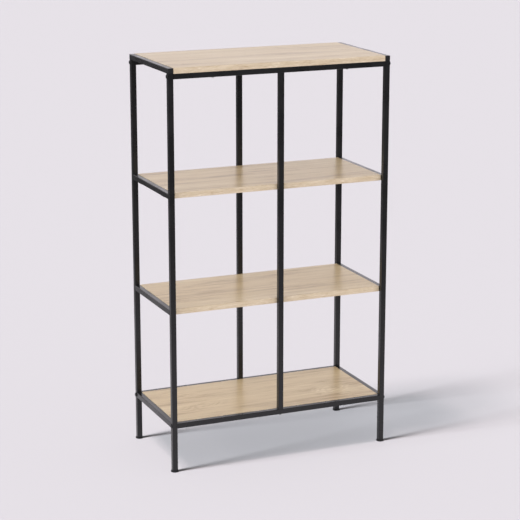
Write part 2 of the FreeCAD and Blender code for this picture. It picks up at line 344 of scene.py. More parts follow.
# ---------------------------------------------------------------- finishes
@dataclass(frozen=True)
class SkinFinish:
    """A painted, plated or moulded skin: one colour that drifts a little, with peel and grit."""

    name: str
    colour: Colour
    roughness: float
    drift: float = 0.12
    rough_drift: float = 0.06
    specular: float = 0.5
    metallic: float = 0.0
    peel: float = 700.0
    grit: float = 3200.0
    grit_share: float = 0.3
    depth: float = 0.02 * MM
    drift_span: Span = (0.3, 0.7)
    rough_span: Span = (0.35, 0.65)

    def material(self) -> bpy.types.Material:
        """Make the finish's material.

        Returns:
            The material.
        """
        material, graph, shader = new_material(self.name)
        vector = graph.add("ShaderNodeTexCoord").outputs["Object"]
        values = {"Vector": vector, "Peel": self.peel, "Grit": self.grit, "Grit Share": self.grit_share}
        skin = graph.place(moulded_skin(), values)
        drift = graph.spread(skin.outputs["Drift"], *self.drift_span)
        dark = tuple(channel * (1.0 - self.drift) for channel in self.colour)
        light = tuple(channel * (1.0 + self.drift) for channel in self.colour)
        low = self.roughness - self.rough_drift
        high = self.roughness + self.rough_drift
        rough = graph.spread(skin.outputs["Drift"], *self.rough_span, low, high)
        bump = graph.add("ShaderNodeBump", {"Height": skin.outputs["Height"], "Distance": self.depth})
        inputs = {
            "Base Color": graph.blend(drift, dark, light),
            "Roughness": rough,
            "Normal": bump.outputs[0],
            "Specular IOR Level": self.specular,
            "Metallic": self.metallic,
        }
        graph.fill(shader, inputs)
        return material


@dataclass(frozen=True)
class Heart:
    """One oval of growth rings in a board's facing, lighter than the board if its strength is below zero."""

    x: float
    y: float
    stretch: float = 7.0
    ring: float = 7.0 * MM
    reach: float = 45.0 * MM
    strength: float = 0.35
    turn: float = 0.0


@dataclass(frozen=True)
class OakFinish:
    """Pale oak decor with its grain along X: dark, middle and light tones, pores and growth rings.

    pore_roughness is how much the roughness changes, outside a pore and in one.  core is the colour of the
    pressed chips inside, where there are any.
    """

    name: str
    dark: Colour
    middle: Colour
    light: Colour
    roughness: float = 0.34
    specular: float = 0.38
    pore_depth: float = 0.03 * MM
    pore_tone: float = 0.22
    pore_roughness: Span = (-0.03, 0.14)
    scale: Triple = (1.0, 1.0, 1.0)
    shift: Triple = (0.0, 0.0, 0.0)
    hearts: tuple[Heart, ...] = ()
    follows_uv: bool = False
    core: Colour | None = None
    chips: float = 420.0
    chip_shade: float = 0.55
    level_span: Span = (0.4, 0.6)

    def material(self) -> bpy.types.Material:
        """Make the finish's material.

        Returns:
            The material.
        """
        material, graph, shader = new_material(self.name)
        source = graph.add("ShaderNodeTexCoord")
        vector = source.outputs["UV" if self.follows_uv else "Object"]
        inputs = {"Vector": vector, "Location": self.shift, "Scale": self.scale}
        placed = graph.add("ShaderNodeMapping", inputs).outputs[0]
        grain = graph.place(oak_streaks(), {"Vector": placed}).outputs
        tone = grain["Tone"]
        for heart in self.hearts:
            tone = graph.math("SUBTRACT", tone, self.heart_shade(graph, vector, heart))
        pores = grain["Pores"]
        tone = graph.math("SUBTRACT", tone, graph.math("MULTIPLY", pores, self.pore_tone))
        lower = graph.blend(graph.spread(tone, 0.0, 0.5), self.dark, self.middle)
        colour = graph.blend(graph.spread(tone, 0.5, 1.0), lower, self.light)
        if self.core is not None:
            colour = self.with_core(graph, source, colour)
        smooth, open_pore = (self.roughness + change for change in self.pore_roughness)
        height = graph.math("SUBTRACT", 1.0, pores)
        bump = graph.add("ShaderNodeBump", {"Height": height, "Distance": self.pore_depth})
        inputs = {
            "Base Color": colour,
            "Roughness": graph.spread(pores, 0.0, 1.0, smooth, open_pore),
            "Normal": bump.outputs[0],
            "Specular IOR Level": self.specular,
        }
        graph.fill(shader, inputs)
        return material

    def heart_shade(self, graph: Graph, vector: Socket, heart: Heart) -> Socket:
        """Place one oval of growth rings.

        Args:
            graph: the material's graph.
            vector: the place on the board.
            heart: the oval.

        Returns:
            How much darker it makes each place.
        """
        turn = (0.0, 0.0, math.radians(heart.turn))
        inputs = {"Vector": vector, "Location": (heart.x, heart.y, 0.0), "Rotation": turn}
        centred = graph.add("ShaderNodeMapping", inputs, vector_type="TEXTURE")
        values = {
            "Vector": centred.outputs[0],
            "Stretch": heart.stretch,
            "Ring": heart.ring,
            "Reach": heart.reach,
            "Strength": heart.strength,
        }
        return graph.place(oak_heart(), values).outputs["Shade"]

    def with_core(self, graph: Graph, source: bpy.types.Node, facing: Socket) -> Socket:
        """Show pressed chips on cut sides and in drilled holes.

        Args:
            graph: the material's graph.
            source: its Texture Coordinate node.
            facing: the colour of the two faces.

        Returns:
            The colour of the whole board.
        """
        chips = graph.add("ShaderNodeTexVoronoi", {"Vector": source.outputs["Object"], "Scale": self.chips})
        shade = graph.add("ShaderNodeSeparateColor", {0: chips.outputs["Color"]}).outputs[0]
        dark = tuple(channel * self.chip_shade for channel in self.core)
        chip = graph.blend(shade, dark, self.core)
        upright = graph.add("ShaderNodeSeparateXYZ", {0: source.outputs["Normal"]}).outputs["Z"]
        level = graph.spread(graph.math("ABSOLUTE", upright), *self.level_span)
        return graph.blend(level, chip, facing)


POWDER_COAT = SkinFinish("black_powder_coat", (0.0085, 0.0085, 0.0090), 0.28, specular=0.46)
BLACK_BOLT = SkinFinish(
    "black_bolt_finish", (0.0110, 0.0110, 0.0115), 0.30, specular=0.42, peel=1500.0, depth=0.006 * MM
)
BLACK_PLASTIC = SkinFinish(
    "black_moulding", (0.0090, 0.0090, 0.0095), 0.52, specular=0.40, peel=1900.0, grit=5200.0, grit_share=0.6
)
ZINC_PLATE = SkinFinish(
    "bright_zinc_plate", (0.56, 0.57, 0.59), 0.30, drift=0.10, metallic=1.0, peel=420.0, depth=0.008 * MM
)
OAK_COLOURS = {
    "dark": (0.360, 0.235, 0.125),
    "middle": (0.585, 0.440, 0.262),
    "light": (0.700, 0.560, 0.375),
    "core": (0.42, 0.30, 0.19),
}


def oak_facing(level: str, along: float, across: float, *hearts: Heart) -> OakFinish:
    """Return the finish of one board's faces, with its own part of the pattern and its own growth rings."""
    return OakFinish(f"oak_facing_{level}", **OAK_COLOURS, shift=(along, across, 0.0), hearts=hearts)


BOTTOM_HEARTS = (
    Heart(-0.195, -0.046, stretch=2.8, ring=9.0 * MM, reach=38.0 * MM, strength=0.70, turn=8.0),
    Heart(-0.230, -0.037, stretch=6.5, ring=60.0 * MM, reach=11.0 * MM, strength=0.75, turn=14.0),
    Heart(0.204, -0.048, stretch=1.9, ring=11.0 * MM, reach=46.0 * MM, strength=-1.70, turn=6.0),
    Heart(0.222, -0.046, stretch=1.5, ring=56.0 * MM, reach=92.0 * MM, strength=0.80, turn=-8.0),
    Heart(-0.300, 0.055, stretch=9.0, ring=8.0 * MM, reach=30.0 * MM, strength=0.40),
)
LOWER_HEART = Heart(-0.02, 0.06, stretch=12.0, ring=9.0 * MM, reach=40.0 * MM, strength=0.16)
UPPER_HEART = Heart(0.12, -0.02, stretch=11.0, ring=8.0 * MM, reach=36.0 * MM, strength=0.16)
TOP_HEART = Heart(-0.05, 0.03, stretch=13.0, ring=9.0 * MM, reach=40.0 * MM, strength=0.14)
OAK_FACINGS = {
    "bottom": oak_facing("bottom", 0.40, 1.30, *BOTTOM_HEARTS),
    "lower_shelf": oak_facing("lower_shelf", 2.10, 0.35, LOWER_HEART),
    "upper_shelf": oak_facing("upper_shelf", 3.70, 2.15, UPPER_HEART),
    "top": oak_facing("top", 5.20, 3.05, TOP_HEART),
}
OAK_BAND = OakFinish(
    "oak_edge_band",
    dark=(0.395, 0.285, 0.180),
    middle=(0.560, 0.452, 0.320),
    light=(0.735, 0.628, 0.508),
    roughness=0.42,
    scale=(14.0, 7.0, 1.0),
    follows_uv=True,
)


# ---------------------------------------------------------------- outlines and meshes
class Outline(Enum):
    """The outlines that a turned or moulded piece can have at one height."""

    ROUND = "round"
    HEXAGON = "hexagon"
    CROSS = "cross"
    SQUARE = "square"
    RIBBED = "ribbed"


@dataclass(frozen=True)
class Ring:
    """One level outline of a solid: its shape, half its size, its height and its corner or arm."""

    outline: Outline
    reach: float
    height: float
    detail: float = 0.0

    def distance(self, angle: float) -> float:
        """Return how far the outline is from the axis, in one direction.

        Args:
            angle: the direction, in radians.

        Returns:
            The distance.
        """
        if self.outline is Outline.ROUND:
            return self.reach
        if self.outline is Outline.HEXAGON:
            third = math.pi / 3.0
            return self.reach / math.cos((angle % third) - third / 2.0)
        octant = angle % QUARTER
        octant = min(octant, QUARTER - octant)
        if self.outline is Outline.CROSS:
            if math.tan(octant) < self.detail / self.reach:
                return self.reach / math.cos(octant)
            return self.detail / math.sin(octant)
        return self.square_distance(octant)

    def square_distance(self, octant: float) -> float:
        """Return the distance to a rounded square, with grooves in its sides if it is ribbed.

        Args:
            octant: the direction from the middle of the nearest side, in radians.

        Returns:
            The distance.
        """
        groove_from = 0.22
        groove_to = 0.50
        groove_depth = 0.16
        straight = self.reach - self.detail
        if self.reach * math.tan(octant) <= straight:
            distance = self.reach / math.cos(octant)
        else:
            run = straight * (math.cos(octant) + math.sin(octant))
            distance = run + math.sqrt(run * run - 2.0 * straight * straight + self.detail * self.detail)
        if self.outline is Outline.RIBBED and groove_from < octant < groove_to:
            distance *= 1.0 - groove_depth
        return distance

    def points(self, angles: list[float]) -> list[Vector]:
        """Return the outline's points.

        Args:
            angles: their directions from the axis, in radians.

        Returns:
            A point for each direction.
        """
        points = []
        for angle in angles:
            distance = self.distance(angle)
            points.append(Vector((distance * math.cos(angle), distance * math.sin(angle), self.height)))
        return points


def even_angles(count: int) -> list[float]:
    """Return directions evenly spaced round a circle."""
    return [WHOLE * number / count for number in range(count)]


def cornered_angles(count: int) -> list[float]:
    """Return directions round a circle, with more of them near a square's corners."""
    extra = [math.radians(90.0 * side + near) for side in range(4) for near in NEAR_CORNER_DEGREES]
    return sorted(set(even_angles(count) + extra))


def rounded_edge(steps: int) -> list[tuple[float, float]]:
    """Return the points of a rounded edge of radius one.

    Args:
        steps: how many straight steps follow the quarter round.

    Returns:
        How far each point is from the one side of the edge, falling, and from the other, rising.
    """
    angles = [QUARTER * step / steps for step in range(steps + 1)]
    return [(1.0 - math.sin(angle), 1.0 - math.cos(angle)) for angle in angles]


def running_length(points: list[Vector]) -> list[float]:
    """Return how far along a line of points each of them lies."""
    lengths = [(after - before).length for before, after in zip(points, points[1:])]
    return list(accumulate(lengths, initial=0.0))


class MeshMaker:
    """Collects closed solids, each a stack of outlines, into one mesh."""

    def __init__(self) -> None:
        """Start with no solids."""
        self.work = bmesh.new()
        self.uv = self.work.loops.layers.uv.new("UVMap")

    def stack(self, rows: list[list[Vector]]) -> None:
        """Add one closed solid.

        Args:
            rows: outlines with as many points each, in order along the solid.
        """
        rings = [[self.work.verts.new(point) for point in row] for row in rows]
        run = running_length([row[0] for row in rows])
        longest = max(rows, key=lambda row: running_length(row)[-1])
        girth = running_length(longest + longest[:1])
        count = len(rings[0])
        for level, (lower, upper) in enumerate(zip(rings, rings[1:])):
            for number in range(count):
                after = (number + 1) % count
                face = self.work.faces.new((lower[number], lower[after], upper[after], upper[number]))
                corners = ((level, number), (level, number + 1), (level + 1, number + 1), (level + 1, number))
                for loop, (row, column) in zip(face.loops, corners):
                    loop[self.uv].uv = (run[row], girth[column])
        for ring in (rings[0], rings[-1]):
            face = self.work.faces.new(ring)
            for loop in face.loops:
                loop[self.uv].uv = (loop.vert.co.y, loop.vert.co.z)

    def turned(self, rings: list[Ring], angles: list[float]) -> None:
        """Add a solid that is a stack of rings."""
        self.stack([ring.points(angles) for ring in rings])

    def place(self, matrix: Matrix) -> None:
        """Move everything made so far."""
        bmesh.ops.transform(self.work, matrix=matrix, verts=self.work.verts[:])

    def slide_pattern(self, run: float) -> None:
        """Slide the pattern along everything made so far.

        Args:
            run: how far it slides.
        """
        for face in self.work.faces:
            for loop in face.loops:
                loop[self.uv].uv.x += run

    def take(self, other: "MeshMaker") -> None:
        """Take over everything that another maker made, with its pattern.

        Args:
            other: the other maker, which is used up.
        """
        mesh = bpy.data.meshes.new("taken")
        other.work.to_mesh(mesh)
        other.work.free()
        self.work.from_mesh(mesh)
        bpy.data.meshes.remove(mesh)

    def to_object(self, name: str, material: bpy.types.Material) -> bpy.types.Object:
        """Make the object, with outward faces and edges that are sharp where they turn hard.

        Args:
            name: the object's name.
            material: its material.

        Returns:
            The new object.
        """
        bmesh.ops.recalc_face_normals(self.work, faces=self.work.faces[:])
        mesh = bpy.data.meshes.new(name)
        self.work.to_mesh(mesh)
        self.work.free()
        mesh.materials.append(material)
        for polygon in mesh.polygons:
            polygon.use_smooth = True
        mesh.set_sharp_from_angle(angle=SHARP_EDGE)
        return in_scene(name, mesh)


def in_scene(name: str, data: bpy.types.ID) -> bpy.types.Object:
    """Put a mesh, a camera or a light in the scene.

    Args:
        name: the object's name.
        data: what it shows.

    Returns:
        The new object.
    """
    made = bpy.data.objects.new(name, data)
    bpy.context.scene.collection.objects.link(made)
    return made


# ---------------------------------------------------------------- pieces in the frame
@dataclass(frozen=True)
class Place:
    """Where a repeated piece goes, and how it is turned."""

    position: Vector
    turn: Euler


def solids_of(node: str) -> list[Box]:
    """Return the box of each separate solid in a node, in a fixed order.

    Args:
        node: the node's name.

    Returns:
        The lowest and highest corner of each solid.
    """
    work = bmesh.new()
    work.from_mesh(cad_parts[node].data)
    bmesh.ops.remove_doubles(work, verts=work.verts[:], dist=SAME_PLACE / 10.0)
    waiting = set(work.verts)
    boxes = []
    while waiting:
        island = [waiting.pop()]
        for vertex in island:
            for edge in vertex.link_edges:
                other = edge.other_vert(vertex)
                if other in waiting:
                    waiting.remove(other)
                    island.append(other)
        low = Vector([min(vertex.co[axis] for vertex in island) for axis in range(3)])
        high = Vector([max(vertex.co[axis] for vertex in island) for axis in range(3)])
        boxes.append((low, high))
    work.free()
    return sorted(boxes, key=lambda box: [round(value / MM) for value in (*box[0], *box[1])])


def middle(box: Box) -> Vector:
    """Return a box's centre."""
    return (box[0] + box[1]) / 2.0


def dress(node: str, material: bpy.types.Material) -> None:
    """Give a node of the frame its finish.

    Args:
        node: the node's name.
        material: the finish.
    """
    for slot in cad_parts[node].material_slots:
        slot.material = material
    LOG.info("dressed %s with %s", node, material.name)


def stand_for(piece: bpy.types.Object, slot: Slot, *nodes: str) -> None:
    """Put a finished piece in the place of its nodes.

    Args:
        piece: the finished piece.
        slot: the record's slot for the piece's finish; not used.
        nodes: the nodes that it replaces.
    """
    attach(piece, BODY)
    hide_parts(*nodes)
    LOG.info("built %s: %d faces", piece.name, len(piece.data.polygons))


class Recipe:
    """A geometry node tree with named inputs, run once on a set of places."""

    def __init__(self, name: str, inputs: dict[str, tuple[str, float | None]]) -> None:
        """Start the tree.

        Args:
            name: the tree's name.
            inputs: each input's socket type and default, or None where it has none.
        """
        tree = bpy.data.node_groups.new(name, "GeometryNodeTree")
        tree.interface.new_socket("Geometry", in_out="INPUT", socket_type="NodeSocketGeometry")
        for label, (kind, value) in inputs.items():
            socket = tree.interface.new_socket(label, in_out="INPUT", socket_type=kind)
            if value is not None:
                socket.default_value = value
        tree.interface.new_socket("Geometry", in_out="OUTPUT", socket_type="NodeSocketGeometry")
        self.tree = tree
        self.graph = Graph(tree)
        self.inlet = self.graph.add("NodeGroupInput").outputs

    def turn_of_place(self) -> Socket:
        """Return the rotation that each place asks for."""
        turn = self.graph.add("GeometryNodeInputNamedAttribute", {"Name": "turn"}, data_type="FLOAT_VECTOR")
        return self.graph.add("FunctionNodeEulerToRotation", {0: turn.outputs["Attribute"]}).outputs[0]

    def end(self, instances: Socket) -> None:
        """End the tree: real geometry with its material.

        Args:
            instances: what the tree made.
        """
        real = self.graph.add("GeometryNodeRealizeInstances", {"Geometry": instances}).outputs[0]
        inputs = {"Geometry": real, "Material": self.inlet["Material"]}
        painted = self.graph.add("GeometryNodeSetMaterial", inputs).outputs[0]
        self.graph.add("NodeGroupOutput", {0: painted})

    def run(self, name: str, places: list[Place], values: dict) -> bpy.types.Object:
        """Run the tree and keep its result as a plain mesh.

        Args:
            name: the new piece's name.
            places: where the pieces go.
            values: a value for each named input.

        Returns:
            The finished piece.
        """
        mesh = bpy.data.meshes.new(f"{name}_places")
        mesh.from_pydata([place.position for place in places], [], [])
        turn = mesh.attributes.new("turn", "FLOAT_VECTOR", "POINT")
        turn.data.foreach_set("vector", [angle for place in places for angle in place.turn])
        piece = in_scene(name, mesh)
        modifier = piece.modifiers.new(self.tree.name, "NODES")
        modifier.node_group = self.tree
        for item in self.tree.interface.items_tree:
            if item.in_out == "INPUT" and item.name in values:
                modifier[item.identifier] = values[item.name]
        depsgraph = bpy.context.evaluated_depsgraph_get()
        result = bpy.data.meshes.new_from_object(piece.evaluated_get(depsgraph), depsgraph=depsgraph)
        piece.modifiers.clear()
        piece.data = result
        result.name = name
        return piece


@cache
def fastener_recipe() -> Recipe:
    """Make the tree that puts one fastener on each place, spun by a random angle about its own axis.

    Returns:
        The tree's recipe.
    """
    inputs = {
        "Fastener": ("NodeSocketObject", None),
        "Spin": ("NodeSocketFloat", 1.0),
        "Seed": ("NodeSocketInt", 1),
        "Material": ("NodeSocketMaterial", None),
    }
    recipe = Recipe("fasteners_on_places", inputs)
    graph = recipe.graph
    inlet = recipe.inlet
    source = graph.add("GeometryNodeObjectInfo", {"Object": inlet["Fastener"], "As Instance": True})
    back = graph.math("MULTIPLY", inlet["Spin"], -1.0)
    values = {2: back, 3: inlet["Spin"], "Seed": inlet["Seed"]}
    spin = graph.add("FunctionNodeRandomValue", values, data_type="FLOAT").outputs[1]
    about = graph.add("ShaderNodeCombineXYZ", {"Z": spin}).outputs[0]
    spun = graph.add("FunctionNodeEulerToRotation", {0: about}).outputs[0]
    inputs = {"Rotation": recipe.turn_of_place(), "Rotate By": spun}
    rotation = graph.add("FunctionNodeRotateRotation", inputs, rotation_space="LOCAL").outputs[0]
    inputs = {"Points": inlet["Geometry"], "Instance": source.outputs["Geometry"], "Rotation": rotation}
    recipe.end(graph.add("GeometryNodeInstanceOnPoints", inputs).outputs[0])
    return recipe


def weld_bead(recipe: Recipe) -> Socket:
    """Make one bead along X, its legs along Y and Z, that is small at its ends and steps at each ripple.

    Args:
        recipe: the welds' recipe.

    Returns:
        The bead's mesh.
    """
    points_in_ripple = 8.0
    end_size = 0.55
    end_growth = 3.0
    graph = recipe.graph
    inlet = recipe.inlet
    half = graph.math("MULTIPLY", inlet["Length"], 0.5)
    back = graph.math("MULTIPLY", half, -1.0)
    start = graph.add("ShaderNodeCombineXYZ", {"X": back}).outputs[0]
    finish = graph.add("ShaderNodeCombineXYZ", {"X": half}).outputs[0]
    line = graph.add("GeometryNodeCurvePrimitiveLine", {"Start": start, "End": finish}).outputs[0]
    count = graph.math("MULTIPLY_ADD", inlet["Ripples"], points_in_ripple, 1.0)
    points = graph.add("GeometryNodeResampleCurve", {"Curve": line, "Count": count}).outputs[0]
    along = graph.add("GeometryNodeSplineParameter").outputs["Factor"]
    phase = graph.math("FRACT", graph.math("MULTIPLY", along, inlet["Ripples"]))
    dip = graph.math("MULTIPLY", graph.math("POWER", phase, 2.0), inlet["Ripple Depth"])
    arch = graph.math("SINE", graph.math("MULTIPLY", along, math.pi))
    ends = graph.math("MINIMUM", graph.math("MULTIPLY_ADD", arch, end_growth, end_size), 1.0)
    radius = graph.math("MULTIPLY", graph.math("SUBTRACT", ends, dip), inlet["Leg"])
    inputs = {"Radius": 1.0, "Start Angle": 0.0, "Sweep Angle": QUARTER, "Connect Center": True}
    section = graph.add("GeometryNodeCurveArc", {"Resolution": 10, **inputs}, mode="RADIUS").outputs[0]
    inputs = {"Curve": points, "Profile Curve": section, "Scale": radius, "Fill Caps": True}
    bead = graph.add("GeometryNodeCurveToMesh", inputs).outputs[0]
    return graph.add("GeometryNodeSetShadeSmooth", {"Geometry": bead, "Shade Smooth": True}).outputs[0]


@cache
def weld_recipe() -> Recipe:
    """Make the tree that lays one rippled fillet weld on each place, with a little wander.

    Returns:
        The tree's recipe.
    """
    inputs = {
        "Length": ("NodeSocketFloat", 12.0 * MM),
        "Leg": ("NodeSocketFloat", 2.0 * MM),
        "Ripples": ("NodeSocketInt", 8),
        "Ripple Depth": ("NodeSocketFloat", 0.12),
        "Wander": ("NodeSocketFloat", 0.2 * MM),
        "Seed": ("NodeSocketInt", 1),
        "Material": ("NodeSocketMaterial", None),
    }
    wander_scale = 260.0
    recipe = Recipe("rippled_welds", inputs)
    graph = recipe.graph
    inlet = recipe.inlet
    bead = weld_bead(recipe)
    inputs = {"Points": inlet["Geometry"], "Instance": bead, "Rotation": recipe.turn_of_place()}
    laid = graph.add("GeometryNodeInstanceOnPoints", inputs).outputs[0]
    real = graph.add("GeometryNodeRealizeInstances", {"Geometry": laid}).outputs[0]
    spot = graph.add("GeometryNodeInputPosition").outputs[0]
    values = {"Vector": spot, "W": inlet["Seed"], "Scale": wander_scale, "Detail": 1.0}
    noise = graph.add("ShaderNodeTexNoise", values, noise_dimensions="4D").outputs["Color"]
    centred = graph.vector_math("SUBTRACT", {0: noise, 1: (0.5, 0.5, 0.5)})
    amount = graph.vector_math("SCALE", {0: centred, "Scale": inlet["Wander"]})
    recipe.end(graph.add("GeometryNodeSetPosition", {"Geometry": real, "Offset": amount}).outputs[0])
    return recipe


class Facing(Enum):
    """The way that a head faces: its axis, the end of its box where it is, and its turn from facing up."""

    LEFT = (0, 0, (0.0, -QUARTER, 0.0))
    RIGHT = (0, 1, (0.0, QUARTER, 0.0))
    FRONT = (1, 0, (QUARTER, 0.0, 0.0))
    REAR = (1, 1, (-QUARTER, 0.0, 0.0))
    DOWN = (2, 0, (HALF, 0.0, 0.0))
    UP = (2, 1, (0.0, 0.0, 0.0))


@dataclass(frozen=True)
class Batch:
    """Many of one bolt, screw or cap, which stand for one node.

    Their heads face the first of two ways in the unit's left, front or lower half, and the second in its
    other half.
    """

    name: str
    node: str
    slot: Slot
    head: float
    facings: tuple[Facing, Facing]
    seed: int
    spin: float = HALF

    def places(self) -> list[Place]:
        """Return where they go.

        Returns:
            The place of the underside of each one's head.
        """
        places = []
        for box in solids_of(self.node):
            seat = middle(box)
            axis = self.facings[0].value[0]
            facing = self.facings[1 if seat[axis] > middle(cad_box)[axis] else 0]
            axis, end, turn = facing.value
            seat[axis] = box[end][axis] + (-self.head if end else self.head)
            places.append(Place(seat, Euler(turn)))
        return places

    def build(self, source: bpy.types.Object) -> None:
        """Put a copy on each place.

        Args:
            source: what is copied, which is used up.
        """
        material = source.data.materials[0]
        values = {"Fastener": source, "Spin": self.spin, "Seed": self.seed, "Material": material}
        piece = fastener_recipe().run(self.name, self.places(), values)
        bpy.data.objects.remove(source)
        stand_for(piece, self.slot, self.node)


# ---------------------------------------------------------------- sub-assemblies
@dataclass
class SteelFrame:
    """The two welded side frames, the cross rails, the middle uprights and the shelf tabs."""

    weld_leg: float = 2.0 * MM
    weld_length: float = 12.0 * MM
    weld_ripples: int = 8
    coat: bpy.types.Material = field(default_factory=POWDER_COAT.material)

    def build(self) -> None:
        """Dress every tube and tab, and lay the welds."""
        for node in sorted(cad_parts):
            if node.endswith(("_post", "_rail", "_upright", "_tabs")):
                dress(node, self.coat)
        for seed, side in enumerate(("left", "right"), start=1):
            self.lay_welds(side, seed)

    def lay_welds(self, side: str, seed: int) -> None:
        """Lay the rippled beads of one side frame.

        Args:
            side: left or right.
            seed: what sets the beads' small differences.
        """
        node = f"{side}_frame_welds"
        levels = ("bottom", "lower_shelf", "upper_shelf")
        rail_tops = [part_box(f"{side}_{level}_side_rail")[1].z for level in levels]
        places = []
        for low, high in solids_of(node):
            above = any(abs(low.z - top) < SAME_PLACE for top in rail_tops)
            rear = low.y > 0.0
            centre = middle((low, high))
            corner = Vector((centre.x, high.y if rear else low.y, low.z if above else high.z))
            places.append(Place(corner, Euler((0.0 if above else -QUARTER, 0.0, HALF if rear else 0.0))))
        values = {
            "Length": self.weld_length,
            "Leg": self.weld_leg,
            "Ripples": self.weld_ripples,
            "Seed": seed,
            "Material": self.coat,
        }
        stand_for(weld_recipe().run(f"{side}_weld_beads", places, values), Slot.STEEL, node)


@dataclass
class Board:
    """One board: its oak facing on the core, and the edge band round it."""

    level: str
    band_material: bpy.types.Material
    pattern_start: float = 0.0
    pattern_step: float = 1.3
    edge: float = 0.6 * MM
    arris: float = 0.08 * MM
    edge_steps: int = 4

    def build(self) -> None:
        """Dress the core and build the band."""
        core = f"{self.level}_board"
        dress(core, OAK_FACINGS[self.level].material())
        band_low, band_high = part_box(f"{self.level}_edge_band")
        thickness = band_high.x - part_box(core)[1].x
        width = band_high.x - band_low.x
        depth = band_high.y - band_low.y
        height = band_high.z - band_low.z
        maker = MeshMaker()
        strips = (
            (0.0, width, depth / 2.0),
            (HALF, width, depth / 2.0),
            (QUARTER, depth - 2.0 * thickness, width / 2.0),
            (-QUARTER, depth - 2.0 * thickness, width / 2.0),
        )
        for number, (angle, length, reach) in enumerate(strips):
            strip = MeshMaker()
            strip.stack(self.strip_rows(length, thickness, height))
            strip.place(Matrix.Rotation(angle, 4, "Z") @ Matrix.Translation((0.0, -reach, band_low.z)))
            strip.slide_pattern(self.pattern_start + self.pattern_step * number)
            maker.take(strip)
        piece = maker.to_object(f"{self.level}_oak_band", self.band_material)
        stand_for(piece, Slot.OAK_EDGE, f"{self.level}_edge_band")

    def strip_rows(self, length: float, thickness: float, height: float) -> list[list[Vector]]:
        """Return the outlines of one strip along X, with its outer face on y = 0 and its foot on z = 0.

        Args:
            length: the strip's length.
            thickness: its thickness, towards +Y.
            height: its height.

        Returns:
            The outlines from one end to the other.
        """
        rows = []
        half = length / 2.0
        quarter = rounded_edge(self.edge_steps)
        for x, inset in (
            (-half, self.arris),
            (-half + self.arris, 0.0),
            (half - self.arris, 0.0),
            (half, self.arris),
        ):
            radius = self.edge - inset
            edge = [(inset + radius * inwards, inset + radius * rise) for inwards, rise in quarter]
            lower = edge[::-1]
            upper = [(y, height - z) for y, z in edge]
            inner = [(thickness - inset, inset), (thickness - inset, height - inset)]
            rows.append([Vector((x, y, z)) for y, z in lower + inner + upper])
        return rows


@dataclass(frozen=True)
class Plug:
    """A ribbed plug that fits in a tube and narrows at its free end."""

    reach: float = 6.1 * MM
    corner: float = 0.5 * MM
    taper: float = 0.93

    def ring(self, height: float) -> Ring:
        """Return its outline at a height."""
        return Ring(Outline.RIBBED, self.reach, height, self.corner)

    def end(self, height: float) -> Ring:
        """Return the outline of its free end."""
        return Ring(Outline.RIBBED, self.reach * self.taper, height, self.corner)


@dataclass
class Feet:
    """The four round glides under the posts."""

    material: bpy.types.Material
    plug: Plug = Plug()
    rim: float = 1.0 * MM
    rim_steps: int = 4
    recess: float = 0.5 * MM
    recess_radius: float = 7.6 * MM
    recess_centre: float = 0.3
    disc_height: float = 4.0 * MM
    sides: int = 72

    def build(self) -> None:
        """Build one glide for each post."""
        for side in ("left", "right"):
            for end in ("front", "rear"):
                self.glide(f"{side}_{end}_foot")

    def glide(self, node: str) -> None:
        """Build one glide in place of its node.

        Args:
            node: the node's name.
        """
        low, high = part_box(node)
        radius = (high.x - low.x) / 2.0
        rings = [
            Ring(Outline.ROUND, self.recess_radius * self.recess_centre, self.recess),
            Ring(Outline.ROUND, self.recess_radius, self.recess),
            Ring(Outline.ROUND, self.recess_radius + self.recess, 0.0),
        ]
        for inwards, rise in rounded_edge(self.rim_steps):
            rings.append(Ring(Outline.ROUND, radius - self.rim * inwards, self.rim * rise))
        for drop, inwards in rounded_edge(self.rim_steps):
            rings.append(Ring(Outline.ROUND, radius - self.rim * inwards, self.disc_height - self.rim * drop))
        top = high.z
        rings += [self.plug.ring(self.disc_height), self.plug.ring(top - self.recess), self.plug.end(top)]
        maker = MeshMaker()
        maker.turned(rings, cornered_angles(self.sides))
        centre = middle((low, high))
        maker.place(Matrix.Translation((centre.x, centre.y, 0.0)))
        stand_for(maker.to_object(f"{node}_glide", self.material), Slot.PLASTIC, node)


@dataclass
class EndCaps:
    """The four caps in the ends of the top side rails."""

    material: bpy.types.Material
    plug: Plug = Plug()
    plug_length: float = 10.0 * MM
    half_width: float = 7.5 * MM
    corner: float = 1.5 * MM
    plate: float = 2.0 * MM
    arris: float = 0.05 * MM
    rim: float = 0.6 * MM
    rim_steps: int = 4
    crown: float = 0.25 * MM
    crown_shares: tuple[float, ...] = (0.75, 0.5, 0.25, 0.08)
    sides: int = 64

    def build(self) -> None:
        """Build the caps in place of their node."""
        node = "top_rail_end_caps"
        facings = (Facing.FRONT, Facing.REAR)
        batch = Batch("top_rail_caps", node, Slot.PLASTIC, self.plate, facings, seed=3, spin=0.0)
        batch.build(self.cap())

    def cap(self) -> bpy.types.Object:
        """Make one cap, its plate on z = 0 and its plug below.

        Returns:
            The cap.
        """
        rings = [
            self.plug.end(-self.plug_length),
            self.plug.ring(-self.plug_length + self.rim),
            self.plug.ring(0.0),
            Ring(Outline.SQUARE, self.half_width - self.arris, 0.0, self.corner),
            Ring(Outline.SQUARE, self.half_width, self.arris, self.corner),
        ]
        shoulder = self.plate - self.crown
        for drop, inwards in rounded_edge(self.rim_steps):
            inset = self.rim * inwards
            height = shoulder - self.rim * drop
            rings.append(Ring(Outline.SQUARE, self.half_width - inset, height, self.corner - inset / 2.0))
        flat = self.half_width - self.rim
        for share in self.crown_shares:
            height = shoulder + self.crown * (1.0 - share * share)
            rings.append(Ring(Outline.SQUARE, flat * share, height, self.corner * share))
        maker = MeshMaker()
        maker.turned(rings, cornered_angles(self.sides))
        return maker.to_object("cap_source", self.material)


